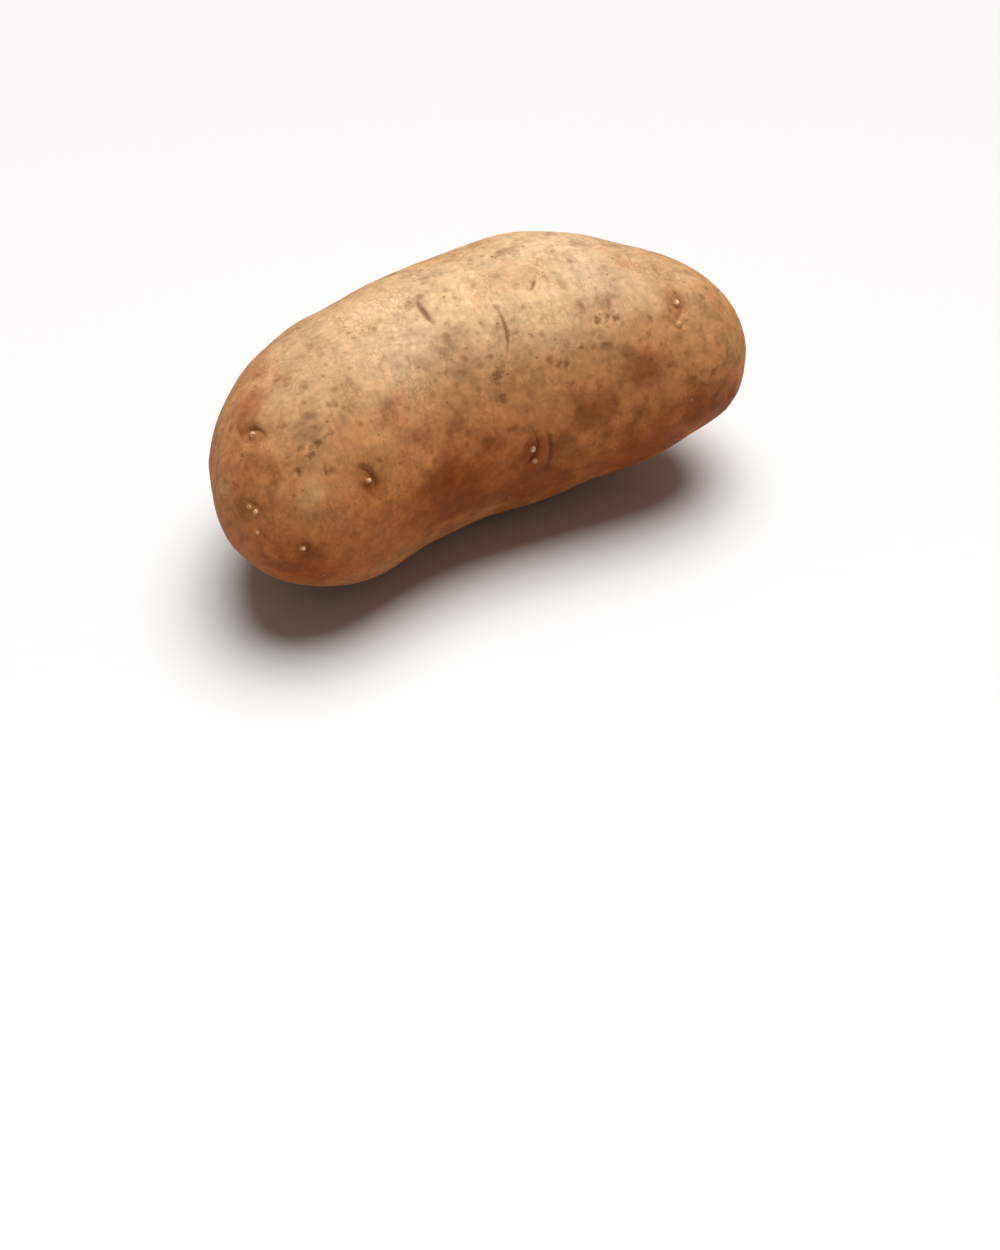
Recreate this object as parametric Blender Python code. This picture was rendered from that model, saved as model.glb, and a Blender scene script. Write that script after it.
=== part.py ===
"""A potato: one kidney-shaped tuber, grown as one piece, lying on a small flat spot of its underside.

The named values are in millimetres and degrees, and the finished mesh is in metres. The long axis is X, from the
rose end (-X), where the eyes crowd, to the stem end (+X). The origin is on the surface that the tuber lies on,
under the middle of its box. An eye is a soft hollow with a raised brow on the side of the stem end, and most eyes
hold a small pale bud. The stem scar, where the tuber hung on its runner, is a hollow like an eye's without a brow.
"""
import math
from typing import NamedTuple

import bmesh
import bpy
import numpy as np
from mathutils import Vector, noise
from mathutils.bvhtree import BVHTree

MM = 0.001

# The tuber's form: a level arc with a round section square to it, and values at seven evenly spaced sections
HALF_LENGTH = 70.0
HALF_BEND = 26.0
ARC_MIDDLE = (-3.1, 1.5)
ROSE_END_BLUNTNESS = 2.6
STEM_END_BLUNTNESS = 2.3
RADII = (31.5, 33.0, 30.5, 30.5, 33.0, 31.5, 34.5)
SIDE_OFFSETS = (-13.0, -6.0, 0.0, 3.0, 6.0, 4.0, 2.0)
MIDDLE_HEIGHTS = (31.5, 30.0, 30.0, 31.0, 32.0, 33.0, 34.0)
UNEVENNESS = 0.25
UNEVENNESS_SPACING = 26.0
FLAT_SPOT_CUT = 1.0

# How finely the skin is divided, away from the eyes and in two steps around them
GUIDE_RINGS = 150
GUIDE_SIDES = 180
SKIN_EDGE = 3.6
REFINED_REACHES = (6.0, 3.2)

# The brow of an eye, with its rise and its fold as shares of the hollow's depth, and the bud
BROW_GAP = 3.0
BROW_THICKNESS = 1.2
BROW_FOLD_BACK = 1.6
BROW_RISE_SHARE = 0.35
BROW_FOLD_SHARE = 0.3
BUD_RADIUS = 0.9

SKIN_COLOUR = (0.50, 0.29, 0.14, 1.0)
SKIN_ROUGHNESS = 0.55


class Swell(NamedTuple):
    """A broad rise of the skin, or a dip where rise is below zero."""

    at: tuple
    rise: float
    reach: float


class Eye(NamedTuple):
    """An eye: where it is, its hollow, the half width of its brow, the height of its bud and the brow's turn."""

    at: tuple
    basin: float
    depth: float
    brow: float
    bud: float
    turn: float = 0.0


class Crease(NamedTuple):
    """A line pressed into the skin, bowed through its middle point."""

    start: tuple
    middle: tuple
    end: tuple
    depth: float
    width: float


SWELLS = {
    "belly": Swell((0.0, -7.0, 0.0), 1.6, 26.0),
    "stem top": Swell((44.0, 13.0, 56.0), -0.8, 18.0),
    "crown": Swell((18.0, 23.5, 58.0), 0.6, 14.0),
    "far back": Swell((-27.0, 20.0, 53.0), -0.6, 13.0),
    "rose nose": Swell((-67.0, -9.0, 30.0), -0.8, 12.0),
    "rose jaw": Swell((-34.0, -27.0, 11.0), 0.9, 18.0),
    "inner bend": Swell((0.0, -16.0, 6.0), -0.8, 18.0),
    "stem belly": Swell((24.0, -17.0, 10.5), -0.6, 17.0),
    "stem jaw": Swell((49.0, -19.0, 19.0), -0.7, 13.0),
    "stem nose": Swell((59.0, -18.0, 26.0), 0.6, 12.0),
    "near hump": Swell((-1.5, -3.5, 61.0), 0.5, 11.0),
    "far hump": Swell((15.0, -8.5, 60.0), 0.4, 11.0),
    "saddle": Swell((-12.0, -15.0, 55.0), -0.6, 16.0),
    "back dip": Swell((8.0, 30.0, 28.0), -0.9, 24.0),
}

EYES = {
    "top eye": Eye((-57.5, -16.0, 50.0), 6.0, 1.0, 4.2, 0.9, 50.0),
    "side eye": Eye((-36.5, -32.5, 43.0), 7.0, 1.2, 4.6, 0.9, 20.0),
    "nose eye": Eye((-61.5, -28.5, 39.0), 4.5, 0.6, 3.0, 0.8, 30.0),
    "nose twin": Eye((-62.5, -27.0, 39.5), 2.0, 0.1, 0.0, 0.4),
    "nose low eye": Eye((-62.0, -30.0, 34.5), 4.0, 0.5, 2.6, 0.5, 10.0),
    "chin eye": Eye((-53.5, -35.5, 31.5), 4.5, 0.7, 3.2, 0.9),
    "bend eye": Eye((5.0, -26.0, 33.5), 6.0, 1.1, 5.0, 1.0, -15.0),
    "stem eye": Eye((46.0, -12.0, 54.5), 6.0, 0.7, 5.5, 0.9, -10.0),
    "stem twin": Eye((44.5, -16.5, 52.0), 3.0, 0.2, 0.0, 0.5),
    "rose low eye": Eye((-57.0, 2.0, 13.5), 5.5, 0.9, 4.2, 0.8, -20.0),
    "rose back eye": Eye((-57.0, 11.0, 32.5), 5.0, 0.8, 3.8, 0.7, 15.0),
    "shoulder eye": Eye((-41.0, 24.0, 36.0), 5.5, 0.9, 4.4, 0.8, 25.0),
    "back eye": Eye((-13.0, 32.0, 40.5), 5.5, 0.8, 4.6, 0.8, 10.0),
    "back low eye": Eye((4.0, 32.5, 17.0), 6.0, 1.0, 4.8, 0.9, -10.0),
    "back stem eye": Eye((33.0, 30.0, 46.0), 5.5, 0.7, 5.0, 0.8, 20.0),
    "stem low eye": Eye((48.0, 11.0, 11.5), 5.0, 0.8, 4.2, 0.7),
    "belly eye": Eye((23.0, -14.5, 9.0), 5.5, 0.8, 4.4, 0.7, -15.0),
    "stem scar": Eye((66.0, 3.5, 35.0), 5.0, 1.3, 0.0, 0.5),
}

CREASES = {
    "short crease": Crease((-12.5, 3.5, 61.0), (-12.5, -1.0, 61.0), (-11.5, -5.5, 60.0), 0.8, 1.0),
    "long brow": Crease((3.0, -4.0, 61.0), (4.5, -12.5, 57.0), (0.5, -17.5, 52.5), 0.35, 0.9),
    "small nick": Crease((14.5, -2.0, 62.5), (13.5, -3.5, 62.0), (12.0, -5.0, 61.5), 0.4, 0.8),
}
CREASE_STEPS = 16


def clear_scene() -> None:
    """Remove every object of the startup scene."""
    for thing in list(bpy.data.objects):
        bpy.data.objects.remove(thing, do_unlink=True)


def section_value(values: tuple, t: np.ndarray) -> np.ndarray:
    """Read a row of section values as a uniform cubic B-spline, with t from -1 to 1 along the tuber."""
    row = np.array(values)
    row = np.concatenate([[2 * row[0] - row[1]], row, [2 * row[-1] - row[-2]]])
    spans = len(values) - 1
    place = (t + 1) / 2 * spans
    k = np.clip(place.astype(int), 0, spans - 1)
    r = place - k
    before = (1 - r) ** 3 * row[k]
    near = (3 * r**3 - 6 * r**2 + 4) * row[k + 1]
    far = (-3 * r**3 + 3 * r**2 + 3 * r + 1) * row[k + 2]
    return (before + near + far + r**3 * row[k + 3]) / 6


def tuber_points(t: np.ndarray, angle: np.ndarray) -> np.ndarray:
    """Points of the plain form, in millimetres; angle goes round a section, up from the outside of the bend."""
    bluntness = np.where(t < 0, ROSE_END_BLUNTNESS, STEM_END_BLUNTNESS)
    radius = section_value(RADII, t) * np.sqrt(np.clip(1 - np.abs(t) ** bluntness, 0, None))
    bend = math.radians(HALF_BEND) * t
    arc_radius = HALF_LENGTH / math.radians(HALF_BEND)
    outward = section_value(SIDE_OFFSETS, t) + radius * np.cos(angle)
    x = ARC_MIDDLE[0] + (arc_radius + outward) * np.sin(bend)
    y = ARC_MIDDLE[1] + (arc_radius + outward) * np.cos(bend) - arc_radius
    z = section_value(MIDDLE_HEIGHTS, t) + radius * np.sin(angle)
    return np.stack([x, y, z], axis=-1)


def swelling(point: Vector) -> float:
    """How far the skin stands out at a point of the plain form, from the swells and the slight unevenness."""
    total = UNEVENNESS * noise.noise(point / UNEVENNESS_SPACING)
    for swell in SWELLS.values():
        away = (point - Vector(swell.at)).length / swell.reach
        total += swell.rise * math.exp(-4 * away * away)
    return total


def guide_form() -> bmesh.types.BMesh:
    """The dense smooth form without eyes: rings of points closed by one point at each end."""
    form = bmesh.new()
    turns = np.arange(GUIDE_SIDES) * 2 * np.pi / GUIDE_SIDES
    rings = []
    for k in range(1, GUIDE_RINGS):
        t = np.full(GUIDE_SIDES, -math.cos(math.pi * k / GUIDE_RINGS))
        rings.append([form.verts.new(p) for p in tuber_points(t, turns).tolist()])
    for one, two in zip(rings, rings[1:]):
        for j in range(GUIDE_SIDES):
            form.faces.new((one[j - 1], one[j], two[j], two[j - 1]))
    for ring, end in ((rings[0], -1.0), (rings[-1], 1.0)):
        tip = form.verts.new(tuber_points(np.array([end]), np.array([0.0]))[0].tolist())
        for j in range(GUIDE_SIDES):
            form.faces.new((ring[j - 1], ring[j], tip))
    bmesh.ops.recalc_face_normals(form, faces=form.faces)
    form.normal_update()
    moves = [vert.normal * swelling(vert.co) for vert in form.verts]
    for vert, move in zip(form.verts, moves):
        vert.co += move
    form.normal_update()
    return form


def evenly_divided(form: bmesh.types.BMesh) -> bmesh.types.BMesh:
    """The same form in faces of even size, made by a voxel remesh."""
    mesh = bpy.data.meshes.new("form")
    form.to_mesh(mesh)
    holder = bpy.data.objects.new("form", mesh)
    bpy.context.collection.objects.link(holder)
    remesh = holder.modifiers.new("even faces", "REMESH")
    remesh.mode = "VOXEL"
    remesh.voxel_size = SKIN_EDGE
    even = bmesh.new()
    even.from_object(holder, bpy.context.evaluated_depsgraph_get())
    bpy.data.objects.remove(holder, do_unlink=True)
    bpy.data.meshes.remove(mesh)
    return even


def lay_on(skin: bmesh.types.BMesh, guide: BVHTree) -> None:
    """Move every vertex to the nearest point of the guide form."""
    for vert in skin.verts:
        vert.co = guide.find_nearest(vert.co)[0]


def settle(skin: bmesh.types.BMesh, guide: BVHTree) -> None:
    """Even out the spacing of the vertices while they stay on the guide form."""
    for _ in range(3):
        bmesh.ops.smooth_vert(skin, verts=skin.verts, factor=0.5, use_axis_x=True, use_axis_y=True, use_axis_z=True)
        lay_on(skin, guide)


def refine_round(skin: bmesh.types.BMesh, places: list, reach: float) -> None:
    """Halve the edges that lie within reach of any of the places."""
    near = []
    for edge in skin.edges:
        middle = (edge.verts[0].co + edge.verts[1].co) / 2
        if any((middle - place).length < reach for place in places):
            near.append(edge)
    bmesh.ops.subdivide_edges(skin, edges=near, cuts=1, use_grid_fill=True)
    bmesh.ops.triangulate(skin, faces=skin.faces)


def eye_relief(eye: Eye, point: Vector, centre: Vector, normal: Vector) -> float:
    """Height of the skin over the smooth form around one eye."""
    away = point - centre
    if away.length > 2.5 * eye.basin:
        return 0.0
    to_stem = (Vector((1, 0, 0)) - normal * normal.x).normalized()
    across = normal.cross(to_stem)
    turn = math.radians(eye.turn)
    forward = to_stem * math.cos(turn) + across * math.sin(turn)
    side = across * math.cos(turn) - to_stem * math.sin(turn)
    u, s = away.dot(forward), away.dot(side)
    height = -eye.depth * math.exp(-(u * u + 0.6 * s * s) / (0.55 * eye.basin) ** 2)
    height += eye.bud * math.exp(-((away.length / BUD_RADIUS) ** 2))
    if eye.brow:
        behind = u - (BROW_GAP - s * s / (1.8 * eye.brow))
        faded = math.exp(-((s / eye.brow) ** 4))
        rise = BROW_RISE_SHARE * math.exp(-((behind / BROW_THICKNESS) ** 2))
        fold = BROW_FOLD_SHARE * math.exp(-(((behind + BROW_FOLD_BACK) / (0.8 * BROW_THICKNESS)) ** 2))
        height += eye.depth * faded * (rise - fold)
    return height


def crease_line(crease: Crease, guide: BVHTree) -> list:
    """Points along a crease, on the guide form, each with how deep it is there."""
    start, middle, end = (Vector(p) for p in (crease.start, crease.middle, crease.end))
    line = []
    for k in range(CREASE_STEPS + 1):
        f = k / CREASE_STEPS
        point = start * (1 - f) ** 2 + (4 * middle - start - end) / 2 * 2 * f * (1 - f) + end * f * f
        line.append((guide.find_nearest(point)[0], crease.depth * math.sin(math.pi * f) ** 0.5))
    return line


def crease_relief(crease: Crease, line: list, point: Vector) -> float:
    """Depth of the skin under the smooth form at a crease, as a height below zero."""
    away, depth = min(((point - place).length, depth) for place, depth in line)
    return -depth * math.exp(-((away / crease.width) ** 2))


def press_in(skin: bmesh.types.BMesh, guide: BVHTree, lines: dict) -> None:
    """Shape the eyes and the creases by moving the skin along the guide form's normals."""
    seats = {name: guide.find_nearest(Vector(eye.at))[:2] for name, eye in EYES.items()}
    for vert in skin.verts:
        point, normal = guide.find_nearest(vert.co)[:2]
        height = sum(eye_relief(eye, point, *seats[name]) for name, eye in EYES.items())
        height += sum(crease_relief(CREASES[name], line, point) for name, line in lines.items())
        vert.co = point + normal * height


def cut_flat_spot(skin: bmesh.types.BMesh) -> None:
    """Cut the lowest part of the belly off level, and close the cut with one flat face."""
    level = min(vert.co.z for vert in skin.verts) + FLAT_SPOT_CUT
    everything = list(skin.verts) + list(skin.edges) + list(skin.faces)
    cut = bmesh.ops.bisect_plane(
        skin, geom=everything, dist=0.02, plane_co=(0, 0, level), plane_no=(0, 0, -1), clear_outer=True
    )
    rim = [item for item in cut["geom_cut"] if isinstance(item, bmesh.types.BMEdge)]
    for vert in {vert for edge in rim for vert in edge.verts}:
        vert.co.z = level
    bmesh.ops.contextual_create(skin, geom=rim)


def stand_on_origin(skin: bmesh.types.BMesh) -> None:
    """Put the origin under the middle of the box, level with the flat spot."""
    points = np.array([vert.co for vert in skin.verts])
    low, high = points.min(axis=0), points.max(axis=0)
    shift = Vector((-(low[0] + high[0]) / 2, -(low[1] + high[1]) / 2, -low[2]))
    bmesh.ops.translate(skin, verts=skin.verts, vec=shift)


def skin_material() -> bpy.types.Material:
    """Tan potato skin with a soft, dull sheen."""
    material = bpy.data.materials.new("potato skin")
    material.use_nodes = True
    shader = material.node_tree.nodes["Principled BSDF"]
    shader.inputs["Base Color"].default_value = SKIN_COLOUR
    shader.inputs["Roughness"].default_value = SKIN_ROUGHNESS
    shader.inputs["Metallic"].default_value = 0.0
    return material


def build_potato() -> bpy.types.Object:
    """The whole tuber as one closed solid."""
    form = guide_form()
    guide = BVHTree.FromBMesh(form)
    lines = {name: crease_line(crease, guide) for name, crease in CREASES.items()}
    places = [Vector(eye.at) for eye in EYES.values()]
    places += [place for line in lines.values() for place, _ in line[::4]]
    skin = evenly_divided(form)
    form.free()
    lay_on(skin, guide)
    settle(skin, guide)
    for reach in REFINED_REACHES:
        refine_round(skin, places, reach)
        lay_on(skin, guide)
    press_in(skin, guide, lines)
    cut_flat_spot(skin)
    stand_on_origin(skin)
    bmesh.ops.triangulate(skin, faces=skin.faces)
    bmesh.ops.scale(skin, vec=(MM, MM, MM), verts=skin.verts)
    bmesh.ops.recalc_face_normals(skin, faces=skin.faces)
    mesh = bpy.data.meshes.new("potato")
    skin.to_mesh(mesh)
    skin.free()
    mesh.shade_smooth()
    mesh.materials.append(skin_material())
    potato = bpy.data.objects.new("potato", mesh)
    bpy.context.collection.objects.link(potato)
    return potato


clear_scene()
build_potato()
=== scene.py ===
"""Looks of one whole potato: its skin with eyes, creases and pores, the pale buds and a plain studio.

Sizes, and the places of the eyes, are in millimetres of the frame, and every mesh is in metres. What only
colours or creases the skin is placed by the pixel of the photograph at which its middle shows, and the
script finds that spot on the frame's own solid.
"""
import logging
import math
from dataclasses import dataclass, field
from enum import Enum

import bmesh
import bpy
import numpy as np
from bpy.types import NodeSocket
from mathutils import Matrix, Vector
from mathutils.bvhtree import BVHTree


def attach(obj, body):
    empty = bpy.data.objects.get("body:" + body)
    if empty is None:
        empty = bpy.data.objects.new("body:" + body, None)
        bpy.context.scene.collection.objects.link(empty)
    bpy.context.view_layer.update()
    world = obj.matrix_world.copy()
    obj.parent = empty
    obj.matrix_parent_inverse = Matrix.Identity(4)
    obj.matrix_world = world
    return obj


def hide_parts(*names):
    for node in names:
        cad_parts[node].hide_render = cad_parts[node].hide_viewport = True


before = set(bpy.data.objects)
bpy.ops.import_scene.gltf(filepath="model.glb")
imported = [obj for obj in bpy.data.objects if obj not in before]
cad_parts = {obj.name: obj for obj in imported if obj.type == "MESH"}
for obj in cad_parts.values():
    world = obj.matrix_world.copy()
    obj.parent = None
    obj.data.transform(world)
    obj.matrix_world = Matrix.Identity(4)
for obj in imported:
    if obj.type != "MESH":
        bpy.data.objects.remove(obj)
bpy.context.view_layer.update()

MM = 0.001
NODE = "potato"
BODY = "root"
LOG = logging.getLogger("potato")


def srgb(red: float, green: float, blue: float) -> tuple:
    """Turn a colour as an eye or a paint chart reads it, 0 to 255, into the linear colour of a shader.

    Args:
        red: red part.
        green: green part.
        blue: blue part.

    Returns:
        The linear red, green, blue and an alpha of one.
    """
    parts = []
    for part in (red, green, blue):
        share = part / 255
        parts.append(share / 12.92 if share <= 0.04045 else ((share + 0.055) / 1.055) ** 2.4)
    return (*parts, 1.0)


class Tone(Enum):
    """What a patch of the skin is like, or the painted shade laid on it, by the name of the mark that its
    points carry.
    """

    RUSSET = "russet"
    # Painted shade, not a tone of the skin: dark red-brown laid where shade falls.
    PAINTED_SHADE = "rust"
    ROSY = "rosy"
    PALE = "pale"
    DIRT = "dirt"
    GREEN = "green"
    SCAB = "scab"


class Tip(Enum):
    """How far a bud has pushed out of its eye.

    Each is the bud's width, its height and how deep its foot sits, in millimetres.
    """

    NONE = (0.0, 0.0, 0.0)
    LOW = (0.85, 0.9, 0.7)
    FULL = (1.15, 1.2, 0.85)


@dataclass(frozen=True)
class Viewpoint:
    """Where the photograph was taken from, in degrees and millimetres, and its frame in pixels."""

    azimuth: float = -22.0
    elevation: float = 44.0
    distance: float = 520.0
    aim: tuple = (-10.0, -42.2, -1.2)
    lens: float = 65.0
    film: float = 36.0
    pixels: tuple = (1000, 1250)

    def back(self) -> Vector:
        """Return the direction from the potato to the camera."""
        turn, tilt = math.radians(self.azimuth), math.radians(self.elevation)
        return Vector((math.sin(turn) * math.cos(tilt), -math.cos(turn) * math.cos(tilt), math.sin(tilt)))

    def stand(self) -> Vector:
        """Return the place of the camera, in metres."""
        return (Vector(self.aim) + self.back() * self.distance) * MM

    def land(self, pixel: tuple, surface: BVHTree) -> Vector:
        """Find the spot of a surface that shows at a pixel.

        Args:
            pixel: how far the pixel is from the left and from the top of the photograph.
            surface: the surface, in metres.

        Returns:
            The spot, in millimetres.
        """
        back = self.back()
        right = Vector((0, 0, 1)).cross(back).normalized()
        wide, high = self.pixels
        aside = right * (pixel[0] - wide / 2) + back.cross(right) * (high / 2 - pixel[1])
        way = aside * (self.film / (self.lens * high)) - back
        return surface.ray_cast(self.stand(), way.normalized())[0] / MM


@dataclass(frozen=True)
class Patch:
    """A soft-edged patch of another tone: its middle's pixel, its reach in millimetres and its strength."""

    at: tuple
    reach: float
    tone: Tone
    strength: float = 1.0


@dataclass(frozen=True)
class Specks:
    """A group of small dark specks: the reach of each in millimetres, and their pixels."""

    reach: float
    places: tuple
    strength: float = 0.7


@dataclass(frozen=True)
class Ripple:
    """One size of the skin's small relief: its name, and its depth and spacing in millimetres."""

    name: str
    depth: float
    spacing: float


@dataclass(frozen=True)
class Fold:
    """A fine line round a bud: how far off it runs, its depth and its width, all in millimetres.

    Its bow is how flat it is: it bends round the bud from the brow's side, or with a minus from the other.
    """

    gap: float
    depth: float
    width: float
    bow: float = 0.0


@dataclass(frozen=True)
class Eye:
    """An eye: its place, its hollow's reach, half its brow's width and how far its brow is turned in degrees.

    Its shade is how dark the hollow and the folds round the bud are, partly the eye's own darker skin and
    partly painted shade, and its stretch is how much longer than wide the bud is.
    """

    at: tuple
    basin: float
    brow: float
    turn: float
    tip: Tip
    shade: float = 1.0
    stretch: float = 1.0


@dataclass(frozen=True)
class Crease:
    """A thin line pressed into the skin: the pixels that it runs through, its size and how dark the shade
    painted into it is.
    """

    start: tuple
    middle: tuple
    end: tuple
    depth: float
    width: float
    shade: float = 1.0


EYES: dict[str, Eye] = {
    "top eye": Eye((-57.5, -16.0, 50.0), 6.0, 4.2, 50.0, Tip.FULL, 0.8, 1.5),
    "side eye": Eye((-35.5, -32.5, 42.5), 7.0, 4.6, 20.0, Tip.FULL, 0.85),
    "nose eye": Eye((-61.5, -28.5, 39.0), 4.5, 3.0, 30.0, Tip.FULL, 0.5),
    "nose twin": Eye((-62.5, -27.0, 39.5), 2.0, 0.0, 0.0, Tip.LOW, 0.2),
    "nose low eye": Eye((-62.0, -30.0, 34.5), 4.0, 2.6, 10.0, Tip.LOW, 0.4),
    "chin eye": Eye((-53.5, -35.5, 31.5), 4.5, 3.2, 0.0, Tip.FULL, 0.7),
    "bend eye": Eye((5.0, -26.0, 33.5), 6.0, 5.0, -15.0, Tip.FULL, 1.0, 1.6),
    "bend twin": Eye((5.2, -26.2, 30.2), 2.5, 0.0, 0.0, Tip.LOW, 0.6),
    "stem eye": Eye((46.0, -12.0, 54.5), 6.0, 5.5, -10.0, Tip.FULL, 0.85, 1.7),
    "stem twin": Eye((44.5, -16.5, 52.0), 3.0, 0.0, 0.0, Tip.LOW, 0.2),
    "rose low eye": Eye((-57.0, 2.0, 13.5), 5.5, 4.2, -20.0, Tip.FULL),
    "rose back eye": Eye((-57.0, 11.0, 32.5), 5.0, 3.8, 15.0, Tip.FULL, 0.8, 1.3),
    "shoulder eye": Eye((-41.0, 24.0, 36.0), 5.5, 4.4, 25.0, Tip.FULL),
    "back eye": Eye((-13.0, 32.0, 40.5), 5.5, 4.6, 10.0, Tip.LOW, 0.8, 1.4),
    "back low eye": Eye((4.0, 32.5, 17.0), 6.0, 4.8, -10.0, Tip.FULL, 1.0, 1.2),
    "back stem eye": Eye((33.0, 30.0, 46.0), 5.5, 5.0, 20.0, Tip.FULL, 0.7, 1.5),
    "stem low eye": Eye((48.0, 11.0, 11.5), 5.0, 4.2, 0.0, Tip.LOW, 0.8),
    "belly eye": Eye((23.0, -14.5, 9.0), 5.5, 4.4, -15.0, Tip.LOW, 0.9),
    "stem scar": Eye((66.0, 3.5, 35.0), 5.0, 0.0, 0.0, Tip.NONE, 1.0),
}

CREASES: dict[str, Crease] = {
    "short crease": Crease((413, 300), (424, 313), (436, 328), 0.45, 0.6),
    "long brow": Crease((487, 297), (506, 328), (505, 361), 0.25, 0.55),
    "small nick": Crease((534, 279), (533, 285), (529, 292), 0.35, 0.5),
    "brow echo": Crease((495, 318), (499, 342), (500, 368), 0.06, 0.45, 0.3),
    "outer echo": Crease((519, 322), (520, 347), (518, 373), 0.06, 0.45, 0.35),
    "bend brow": Crease((545, 427), (551, 451), (543, 477), 0.35, 0.75, 1.0),
    "bend lip": Crease((530, 436), (525, 453), (531, 474), 0.15, 0.8, 0.5),
    "stem brow": Crease((673, 286), (689, 299), (686, 327), 0.12, 0.7, 0.35),
}

PATCHES: dict[str, Patch] = {
    "cheek dirt": Patch((313, 450), 12.0, Tone.DIRT, 0.5),
    "shoulder dirt": Patch((335, 405), 11.0, Tone.DIRT, 0.4),
    "middle dirt": Patch((455, 357), 13.0, Tone.DIRT, 0.5),
    # These two patches only darken the skin there, with the dirt's grey-brown.
    "darker belly": Patch((450, 392), 11.0, Tone.DIRT, 0.45),
    "darker streak": Patch((622, 344), 12.0, Tone.DIRT, 0.45),
    "stem dirt": Patch((712, 318), 13.0, Tone.DIRT, 0.4),
    "stem blotch": Patch((642, 366), 10.0, Tone.RUSSET, 0.75),
    "middle blotch": Patch((594, 409), 10.0, Tone.RUSSET, 0.75),
    "top eye halo": Patch((250, 408), 9.0, Tone.RUSSET, 0.6),
    "rosy shoulder": Patch((244, 402), 12.0, Tone.ROSY, 0.5),
    "rosy bend": Patch((412, 455), 10.0, Tone.ROSY, 0.3),
    "nose": Patch((252, 482), 16.0, Tone.RUSSET, 0.5),
    # Painted shade: these patches darken and redden the hollow round the bend eye and the lower front, where
    # shade falls.
    "bend eye halo": Patch((537, 453), 9.0, Tone.PAINTED_SHADE, 0.5),
    "low chin": Patch((305, 570), 15.0, Tone.PAINTED_SHADE, 0.6),
    "low bend": Patch((458, 490), 20.0, Tone.PAINTED_SHADE, 0.8),
    "low middle": Patch((540, 485), 20.0, Tone.PAINTED_SHADE, 0.8),
    "low belly": Patch((644, 452), 20.0, Tone.PAINTED_SHADE, 0.9),
    "stem rim": Patch((705, 410), 14.0, Tone.PAINTED_SHADE, 0.8),
    "low stem": Patch((717, 412), 14.0, Tone.PAINTED_SHADE, 0.8),
    # The two crowns are pale partly from paler skin and partly from painted highlight, where the light falls
    # on the top.
    "left crown": Patch((470, 303), 13.0, Tone.PALE, 0.9),
    "right crown": Patch((537, 300), 14.0, Tone.PALE, 0.9),
    "upper edge": Patch((368, 307), 16.0, Tone.PALE, 0.6),
    "pale chin": Patch((314, 492), 7.0, Tone.PALE, 0.5),
    "pale nose": Patch((223, 489), 6.0, Tone.PALE, 0.4),
    "pale stem": Patch((688, 280), 11.0, Tone.PALE, 0.5),
    "green end": Patch((735, 339), 12.0, Tone.GREEN, 0.4),
}

SPECKS: dict[str, Specks] = {
    "upper cheek": Specks(1.8, ((329, 433), (318, 444), (302, 447))),
    "lower cheek": Specks(1.8, ((311, 454), (299, 471), (326, 471))),
    "side eye": Specks(2.4, ((367, 465),), 0.6),
    "brow end": Specks(2.1, ((497, 375), (503, 399)), 0.75),
    "beside the brow": Specks(1.9, ((518, 328), (532, 335)), 0.55),
    "twins": Specks(1.7, ((560, 364), (566, 364)), 0.75),
    "upper streak": Specks(1.6, ((598, 319), (607, 318), (617, 318)), 0.75),
    "lower streak": Specks(1.4, ((581, 347), (593, 345), (604, 345))),
    "stem end": Specks(1.8, ((648, 334), (714, 370), (716, 395))),
}


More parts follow.
